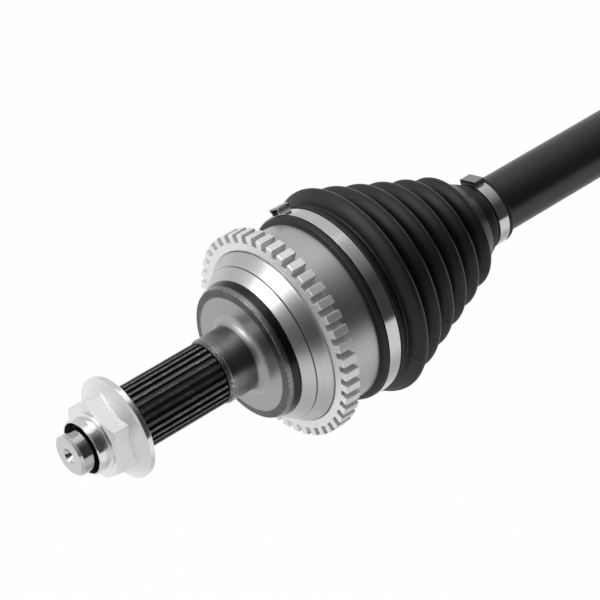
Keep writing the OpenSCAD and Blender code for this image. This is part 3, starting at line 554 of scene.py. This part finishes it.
# Outlines, as distance from a station and height over a radius.
LIP_START = [[0.25, 0.2], [0.35, 0.5]]
LIP_CORNER, LIP_BEAD = (0.6, 0.6), (2.5, 2.3)
CLAMP_SEAT = [[3.35, 2.85], [3.55, 2.55], [3.75, 2.4], [10.4, 2.4], [10.6, 2.7], [10.8, 3.5],
              [11.2, 3.72], [11.7, 3.6], [12.1, 3.0], [12.5, 2.7], [13.0, 2.85], [13.4, 2.75]]
NECK_BEADS = [[-0.2, 6.5], [0.1, 5.8], [0.6, 5.3], [1.1, 5.5], [1.6, 5.55], [2, 5.3], [2.6, 4.2],
              [3.0, 4.2], [3.4, 4.4], [3.9, 4.35], [4.2, 4.1], [4.8, 3.1], [5.2, 3.0], [5.6, 3.15],
              [6.1, 3.0], [6.6, 2.5]]
SMALL_END = [[-9.6, 2.4], [-9.1, 2.2], [-8.9, 1.5], [-2.9, 1.5], [-2.7, 2.2], [-2.4, 2.5],
             [-0.9, 2.55], [-0.3, 2.3], [0, 1.8]]
LIP_INSIDE = [[0.25, 0], [3.4, 0], [4.2, -0.95], [9.6, -0.95], [10.4, 0], [12.2, 0]]
NECK_INSIDE = [[1, 4], [5, 1.6]]
END_INSIDE = [[-9.6, 0.05], [0, 0.05]]


def join(*pieces):
    """Lists of [distance from the lip, radius] points, one after the other."""
    return np.concatenate([np.asarray(piece, float).reshape(-1, 2) for piece in pieces])


def placed(points, station, radius):
    """Points of an outline, moved from the origin to a station and a radius."""
    return np.asarray(points) + [station, radius]


def fold_line(inward, bulge, seat, first, crest, pitch, drop, count, depth):
    """Folds of a boot: rounds at the valleys and crests, whose centres drop evenly,
    joined by walls that touch both rounds. Point = centre + radius * normal of the
    heading, and the front walls bulge by a parabola. Inward moves it to the inside."""
    k = np.arange(2 * count + 1)
    half = (k - 1) / 2
    is_crest = k % 2 == 1
    below = np.where(is_crest, CREST_ROUND, depth - VALLEY_ROUND)
    centre = np.stack([first + half * pitch, crest - half * drop - below], 1)
    centre[0, 1] = seat + FIRST_VALLEY_RISE + BOOT_WALL + VALLEY_ROUND
    centre[-1] = centre[-1, 0] - LAST_VALLEY_BACK, BAR_RADIUS + LAST_VALLEY_RISE + VALLEY_ROUND
    step = np.diff(centre, axis=0)
    tilt = np.arcsin((CREST_ROUND + VALLEY_ROUND) / np.hypot(*step.T))
    heading = np.arctan2(step[:, 1], step[:, 0]) - np.where(is_crest[:-1], tilt, -tilt)
    before = np.concatenate([[HEADING_IN], heading])[:, None]
    after = np.concatenate([heading, [HEADING_OUT]])[:, None]
    h = before + (after - before) * np.linspace(0, 1, ROUND_POINTS)
    radius = np.where(is_crest, CREST_ROUND - inward, -(VALLEY_ROUND + inward))[:, None, None]
    rounds = centre[:, None] + radius * np.stack([-np.sin(h), np.cos(h)], 2)
    t = np.linspace(0, 1, WALL_POINTS)[1:-1][None, :, None]
    start, end = rounds[:-1, -1:], rounds[1:, :1]
    normal = np.stack([-np.sin(heading), np.cos(heading)], 1)[:, None]
    share = np.where(is_crest[:-1], REAR_BULGE, 1.0)[:, None, None]
    walls = start + (end - start) * t + normal * share * bulge * 4 * t * (1 - t)
    return join(np.concatenate([rounds[:-1], walls], axis=1), rounds[-1])


def boot_profile(folds, length):
    """Outlines of a boot's wall from the lip to the small end, outside and inside:
    lip with a quarter-ellipse bead, clamp seat, folds, neck with its beads, and end."""
    fit, neck = folds["seat"] + BOOT_FIT, length - NECK_LENGTH
    angle = np.linspace(0, 1, BEAD_POINTS) * math.pi / 2
    bead = np.stack([LIP_BEAD[0] * (1 - np.cos(angle)), LIP_BEAD[1] * np.sin(angle)], 1)
    outer = join(placed(LIP_START, 0, fit), placed(bead, LIP_CORNER[0], fit + LIP_CORNER[1]),
                 placed(CLAMP_SEAT, 0, fit), fold_line(0, BULGE_OUTSIDE, **folds),
                 placed(NECK_BEADS, neck, BAR_RADIUS), placed(SMALL_END, length, BAR_RADIUS))
    inner = join(placed(LIP_INSIDE, 0, fit), fold_line(BOOT_WALL, BULGE_INSIDE, **folds),
                 placed(NECK_INSIDE, neck, BAR_RADIUS), placed(END_INSIDE, length, BAR_RADIUS))
    return outer, inner


def closed_piece(name, grid, material, crease):
    """Object made of a grid of points that closes on itself both ways, faces outwards;
    edges sharper than crease, in degrees, stay sharp."""
    rows, turns = grid.shape[:2]
    points = grid.reshape(-1, 3)
    i, j = np.arange(rows)[:, None], np.arange(turns)[None, :]
    down, on = (i + 1) % rows, (j + 1) % turns
    corners = [i * turns + j, down * turns + j, down * turns + on, i * turns + on]
    faces = np.stack(corners, 2).reshape(-1, 4)
    a, b, c, d = (points[faces[:, n]] for n in range(4))
    if np.einsum("ij,ij->", a, np.cross(b, c)) + np.einsum("ij,ij->", a, np.cross(c, d)) < 0:
        faces = faces[:, ::-1]
    mesh = bpy.data.meshes.new(name)
    mesh.vertices.add(len(points))
    mesh.vertices.foreach_set("co", points.ravel())
    mesh.loops.add(faces.size)
    mesh.loops.foreach_set("vertex_index", faces.ravel().astype(np.int32))
    mesh.polygons.add(len(faces))
    mesh.polygons.foreach_set("loop_start", np.arange(0, faces.size, 4, dtype=np.int32))
    mesh.update(calc_edges=True)
    mesh.validate()
    mesh.shade_smooth()
    mesh.set_sharp_from_angle(angle=math.radians(crease))
    mesh.materials.append(material)
    piece = bpy.data.objects.new(name, mesh)
    bpy.context.scene.collection.objects.link(piece)
    return piece


BOOT_TURNS, BOOT_CREASE = 200, 50
# How rubber is out of round: share of the radius, waves in a turn, and twist per mm.
OUT_OF_ROUND = ((0.0008, 3, 0.05), (0.0006, 7, -0.11))
# A front slope rises more than this per point, outside this height over the bar.
SLOPE_RISE, SLOPE_FROM = 0.02, 6


def boot_part(name, outer, inner, place, material):
    """Surface of revolution of a closed wall outline about X:
    x = place(distance), y = -radius * sin(turn), z = radius * cos(turn). Outside, the
    radius also waves a little: radius * sum of share * sin(waves * turn + twist * x)."""
    outline = join(outer, inner[::-1])
    outside = np.arange(len(outline)) < len(outer)
    turn = np.linspace(0, 2 * math.pi, BOOT_TURNS, endpoint=False)[None, :]
    x = np.repeat(place(outline[:, :1]), BOOT_TURNS, axis=1)
    uneven = sum(share * np.sin(waves * turn + twist * x) for share, waves, twist in OUT_OF_ROUND)
    radius = outline[:, 1:] * (1 + uneven * outside[:, None])
    points = np.stack([x, -radius * np.sin(turn), radius * np.cos(turn)], 2) * MM
    piece = closed_piece(name, points, material, BOOT_CREASE)
    rise = (np.gradient(outline[:, 1]) > SLOPE_RISE) & outside & (outline[:, 1] > BAR_RADIUS + SLOPE_FROM)
    lean = np.gradient(outline, axis=0)
    lean = np.where(outside, -lean[:, 1] / np.hypot(*lean.T).clip(1e-6), 0)
    carried = piece.data.attributes
    carried.new("moulded_at", "FLOAT_VECTOR", "POINT").data.foreach_set("vector", points.ravel())
    for attribute, value in (("front_slope", rise.astype(float)), ("lean_back", lean)):
        spread = np.repeat(value, BOOT_TURNS)
        carried.new(attribute, "FLOAT", "POINT").data.foreach_set("value", spread)
    return piece


def cut(outer, inner, at, keep_small):
    """The part of a boot's outline on one side of the distance at, both cut square there."""
    def side(line):
        k = np.flatnonzero(np.diff((line[:, 0] > at).astype(int)))
        k = k[0] if keep_small else k[-1]
        t = (at - line[k, 0]) / (line[k + 1, 0] - line[k, 0])
        edge = line[k] + t * (line[k + 1] - line[k])
        return join(edge, line[k + 1:]) if keep_small else join(line[:k + 1], edge)
    return side(outer), side(inner)


# Where each bend starts and ends along the axle, in metres. The inboard boot is cut by
# the valley between its second and third crests, so that the bar stays inside it when
# it tilts.
OUTBOARD_BEND = (0.0565, 0.1425)
INBOARD_CUT = INBOARD_FOLDS["first"] + 1.5 * INBOARD_FOLDS["pitch"] + 1.0
INBOARD_SEAM = (LIP_INBOARD - INBOARD_CUT) * MM
TILT_BEND = (0.368, INBOARD_SEAM)
PLUNGE_STRETCH = (INBOARD_SEAM, 0.4315)


def boots():
    """Both boots. The outboard one turns between bell and bar; the inboard one is cut
    at a fold, because its halves cross one joint each."""
    rubber = boot_rubber_finish()
    outer, inner = boot_profile(OUTBOARD_FOLDS, OUTBOARD_LENGTH)
    piece = boot_part("outboard_bellows", outer, inner, lambda s: LIP_OUTBOARD + s, rubber)
    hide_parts("outboard_boot")
    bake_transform(piece, "stub", "shaft", start=(OUTBOARD_BEND[0], 0, 0), end=(OUTBOARD_BEND[1], 0, 0))

    outer, inner = boot_profile(INBOARD_FOLDS, INBOARD_LENGTH)
    for name, keep_small, bodies, ends in (
            ("inboard_bellows_small", True, ("shaft", "boot_link"), TILT_BEND),
            ("inboard_bellows_large", False, ("boot_link", "tulip"), PLUNGE_STRETCH)):
        half_outer, half_inner = cut(outer, inner, INBOARD_CUT, keep_small)
        piece = boot_part(name, half_outer, half_inner, lambda s: LIP_INBOARD - s, rubber)
        if not keep_small:
            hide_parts("inboard_boot")
        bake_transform(piece, *bodies, start=(ends[0], 0, 0), end=(ends[1], 0, 0))


SLEEVE_RADIUS, SLEEVE_FLAT, FLAT_TURN = 10.2, 8.8, math.radians(-44.0)
SLEEVE_TURNS, SLEEVE_CREASE = 360, 20
# Away from the flat its cosine is held to this, so that the flat cuts only its own side.
LEAST_FACING = 0.5
SLEEVE_OUTLINE = [[-95.89, 7.7], [-95.89, 8.9], [-94.7, SLEEVE_RADIUS], [-85.3, SLEEVE_RADIUS],
                  [-85.3, 8.4], [-94.9, 8.4]]


def pilot_sleeve(steel):
    """The wider body of the pilot: a chamfered outline turned about X, whose radius is
    also held to flat / cos(turn - flat's turn), which mills one flat on it."""
    turn = np.linspace(0, 2 * math.pi, SLEEVE_TURNS, endpoint=False)[None, :]
    facing = np.cos(turn - FLAT_TURN).clip(LEAST_FACING)
    line = np.asarray(SLEEVE_OUTLINE)
    radius = np.minimum(line[:, 1:], SLEEVE_FLAT / facing)
    x = np.repeat(line[:, :1], SLEEVE_TURNS, axis=1)
    grid = np.stack([x, -radius * np.sin(turn), radius * np.cos(turn)], 2) * MM
    piece = closed_piece("pilot_sleeve", grid, steel, SLEEVE_CREASE)
    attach(piece, "stub")


# How strongly the surroundings light the object: in front, and more of it behind.
ROOM_IN_FRONT, ROOM_BEHIND, ROOM_EDGE = 0.06, 0.656, (-0.05, 1.0)
BACKGROUND = 0.985
WHITE = (1, 1, 1, 1)
FLOOR_LEVEL, FLOOR_X, FLOOR_Y = -0.42, (-8.0, 8.0), (-9.0, 5.0)
FLOOR_COLOUR = (0.85, 0.85, 0.85, 1)
# What metal sees of the floor, how much less in a strip under and in front of the axle,
# which is a painted shadow, and where that strip lies in Y with its softness, in metres.
FLOOR_MIRRORED, MIRRORED_SHADOW_DARKER, STRIP = 0.86, 0.62, (-0.44, 0.02, 0.25)
# Lamps: name, place, where it looks, width and height in metres, and watts.
LAMPS = (
    ("top_box", (0.1, 0.28, 1.2), (0, 0, 0), (1.1, 0.7), 1.7),
    ("key_box", (-0.75, 0.36, 0.83), (0, 0, 0), (0.66, 0.56), 4.6),
    ("camera_fill", (-0.9, -1.3, 1.1), (0.05, 0, 0), (1.2, 1.2), 4),
)
UNSEEN_IN_METAL = "camera_fill"


def surroundings():
    """White surroundings behind the axle and a dark room behind the camera."""
    world = bpy.data.worlds.new("studio_world")
    bpy.context.scene.world = world
    world.use_nodes = True
    f = Finish(world, "Generated")
    x, y, z = f.axes()
    room = ROOM_IN_FRONT + ROOM_BEHIND * y.over(*ROOM_EDGE)
    seen = f.node("ShaderNodeLightPath", out="Is Camera Ray")
    strength = BACKGROUND * seen + (1 - seen) * room
    lit = f.node("ShaderNodeBackground", {}, {"Color": WHITE, "Strength": strength})
    f.end(lit, "ShaderNodeOutputWorld")


def floor():
    """Floor that glows white for camera and mirror rays and is a plain shaded white for
    the others, with a painted shadow for metal to mirror: a darker strip under and in front of the axle."""
    corners = [(x, y, FLOOR_LEVEL) for y in FLOOR_Y for x in FLOOR_X]
    mesh = bpy.data.meshes.new("studio_floor")
    mesh.from_pydata(corners, [], [(0, 1, 3, 2)])
    plane = bpy.data.objects.new("studio_floor", mesh)
    bpy.context.scene.collection.objects.link(plane)
    f = Finish.new("floor_white")
    diffuse = f.node("ShaderNodeBsdfDiffuse", {}, {"Color": FLOOR_COLOUR})
    glow = f.node("ShaderNodeEmission", {}, {"Strength": 1.0})
    x, y, z = f.axes()
    mirrored = (f.node("ShaderNodeLightPath", out="Is Glossy Ray")
                + f.node("ShaderNodeLightPath", out="Is Transmission Ray"))
    # Painted shadow under and in front of the axle, seen only in mirror rays.
    mirrored = mirrored * (FLOOR_MIRRORED - MIRRORED_SHADOW_DARKER * y.between(*STRIP))
    seen = f.node("ShaderNodeLightPath", out="Is Camera Ray") * BACKGROUND + mirrored
    mesh.materials.append(f.end(f.node("ShaderNodeMixShader", {}, {0: seen, 1: diffuse, 2: glow})))


def soft_box(name, spot, aim, size, power):
    """Area lamp at spot that looks at aim."""
    data = bpy.data.lights.new(name, "AREA")
    data.shape = "RECTANGLE"
    data.size, data.size_y = size
    data.energy = power
    lamp = bpy.data.objects.new(name, data)
    lamp.location = spot
    lamp.rotation_euler = (Vector(aim) - Vector(spot)).to_track_quat("-Z", "Y").to_euler()
    lamp.visible_glossy = name != UNSEEN_IN_METAL
    bpy.context.scene.collection.objects.link(lamp)


def studio():
    """Surroundings, floor and large soft boxes, as in a product studio."""
    bpy.context.scene.view_settings.view_transform = "Standard"
    surroundings()
    floor()
    for lamp in LAMPS:
        soft_box(*lamp)


FINISH_OF_SLOT = {
    "zinc_plate": zinc_nut_finish, "ring_steel": tone_ring_finish,
    "forged_steel": forged_bell_finish, "bearing_steel": ground_steel_finish,
    "spring_steel": spring_steel_finish, "stainless_band": stainless_finish,
    "black_steel": black_bar_finish,
}


def dress_nodes(finishes, housing):
    """Each CAD node gets the finish of its slot, except the gearbox-side housing, which
    has its own, and the boots, which other pieces replace."""
    for part in frame["record"]["subparts"]:
        if part["material_slot"] == "boot_rubber":
            continue
        materials = frame["nodes"][part["node"]].data.materials
        materials.clear()
        materials.append(housing if part["node"] == "inboard_tulip" else finishes[part["material_slot"]])


place_camera()
studio()
made_finishes = {slot: make() for slot, make in FINISH_OF_SLOT.items()}
dress_nodes(made_finishes, tulip_finish())
boots()
pilot_sleeve(made_finishes["forged_steel"])
